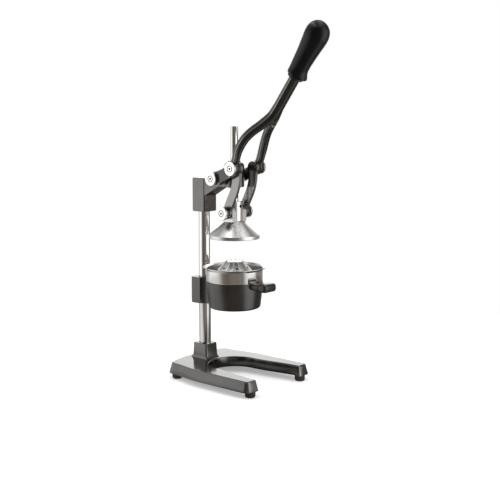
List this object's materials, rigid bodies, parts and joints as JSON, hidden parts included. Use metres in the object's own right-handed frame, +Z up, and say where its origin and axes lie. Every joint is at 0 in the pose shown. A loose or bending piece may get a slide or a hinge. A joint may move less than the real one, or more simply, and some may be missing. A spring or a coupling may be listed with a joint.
{
  "type": "lever citrus juice press",
  "caption": "Upright lever press for citrus halves: horseshoe base, round column, forked lever with curved links, press cup, ribbed reamer in a strainer, and a juice pot with outlet.",
  "frame": {"origin": "on the floor, under the middle of the object's bounding box; the plunger's axis is 0.0510 m behind it", "axes": "+Z up along the column and the plunger; +X across the press; -Y towards the user and the raised lever"},
  "size_m": [0.1882, 0.3412, 0.6855],
  "materials": {
    "grey_casting": "enamelled, semi-gloss, warm grey",
    "dark_casting": "enamelled, fine grain, charcoal",
    "satin_link": "satin",
    "polished_screw": "polished",
    "chromed_bar": "polished",
    "plated_steel": "plated",
    "black_steel": "blackened",
    "bronze": "plain sintered bronze",
    "satin_aluminium": "satin",
    "stainless": "bright stainless",
    "black_grip": "glossy",
    "rubber": "matte"
  },
  "bodies": {
    "stand": {"base_casting": "grey_casting", "foot_front_left": "rubber", "foot_screw_front_left": "plated_steel", "foot_front_right": "rubber", "foot_screw_front_right": "plated_steel", "foot_back_left": "rubber", "foot_screw_back_left": "plated_steel", "foot_back_right": "rubber", "foot_screw_back_right": "plated_steel", "column": "chromed_bar", "column_bolt": "black_steel", "column_bolt_washer": "plated_steel", "socket_set_screw": "black_steel", "head_bracket": "grey_casting", "bracket_set_screw_lower": "black_steel", "bracket_set_screw_upper": "black_steel", "sleeve_bush_bottom": "bronze", "sleeve_bush_top": "bronze", "fulcrum_axle": "plated_steel", "fulcrum_screw_left": "polished_screw", "fulcrum_washer_left": "plated_steel", "fulcrum_screw_right": "polished_screw", "fulcrum_washer_right": "plated_steel", "pot": "dark_casting", "pot_clamp_screw_lower": "black_steel", "pot_clamp_screw_upper": "black_steel", "pot_handle": "dark_casting", "handle_screw": "plated_steel"},
    "lever_arm": {"lever": "dark_casting", "ferrule": "black_steel", "grip": "black_grip"},
    "plunger": {"plunger_rod": "chromed_bar", "press_cup": "satin_aluminium", "cup_set_screw": "black_steel", "wrist_pin": "plated_steel"},
    "link_left": {"strap_left": "satin_link", "link_screw_left": "polished_screw", "link_washer_left": "plated_steel", "wrist_screw_left": "polished_screw", "wrist_washer_left": "plated_steel"},
    "link_right": {"strap_right": "satin_link", "link_screw_right": "polished_screw", "link_washer_right": "plated_steel", "wrist_screw_right": "polished_screw", "wrist_washer_right": "plated_steel"},
    "strainer_set": {"strainer": "stainless", "reamer": "satin_aluminium", "reamer_screw": "plated_steel"}
  },
  "joints": [
    {"name": "lever_hinge", "type": "hinge", "parent": "stand", "child": "lever_arm", "pos_m": [0, 0.07301, 0.3954], "axis": [1, 0, 0], "range_deg": [0, 70]},
    {"name": "plunger_slide", "type": "slide", "parent": "stand", "child": "plunger", "axis": [0, 0, -1], "range_m": [0, 0.064]},
    {"name": "link_left_hinge", "type": "hinge", "parent": "lever_arm", "child": "link_left", "pos_m": [0, 0.02301, 0.4163], "axis": [1, 0, 0], "range_deg": [-79, 0]},
    {"name": "link_right_hinge", "type": "hinge", "parent": "lever_arm", "child": "link_right", "pos_m": [0, 0.02301, 0.4163], "axis": [1, 0, 0], "range_deg": [-79, 0]},
    {"name": "strainer_lift", "type": "slide", "parent": "stand", "child": "strainer_set", "axis": [0, 0, -1], "range_m": [-0.006, 0]}
  ],
  "couplings": [
    {"joint": "plunger_slide", "follows": "lever_hinge", "m_per_rad": 0.052327},
    {"joint": "link_left_hinge", "follows": "lever_hinge", "ratio": -1.1227},
    {"joint": "link_right_hinge", "follows": "lever_hinge", "ratio": -1.1227}
  ]
}
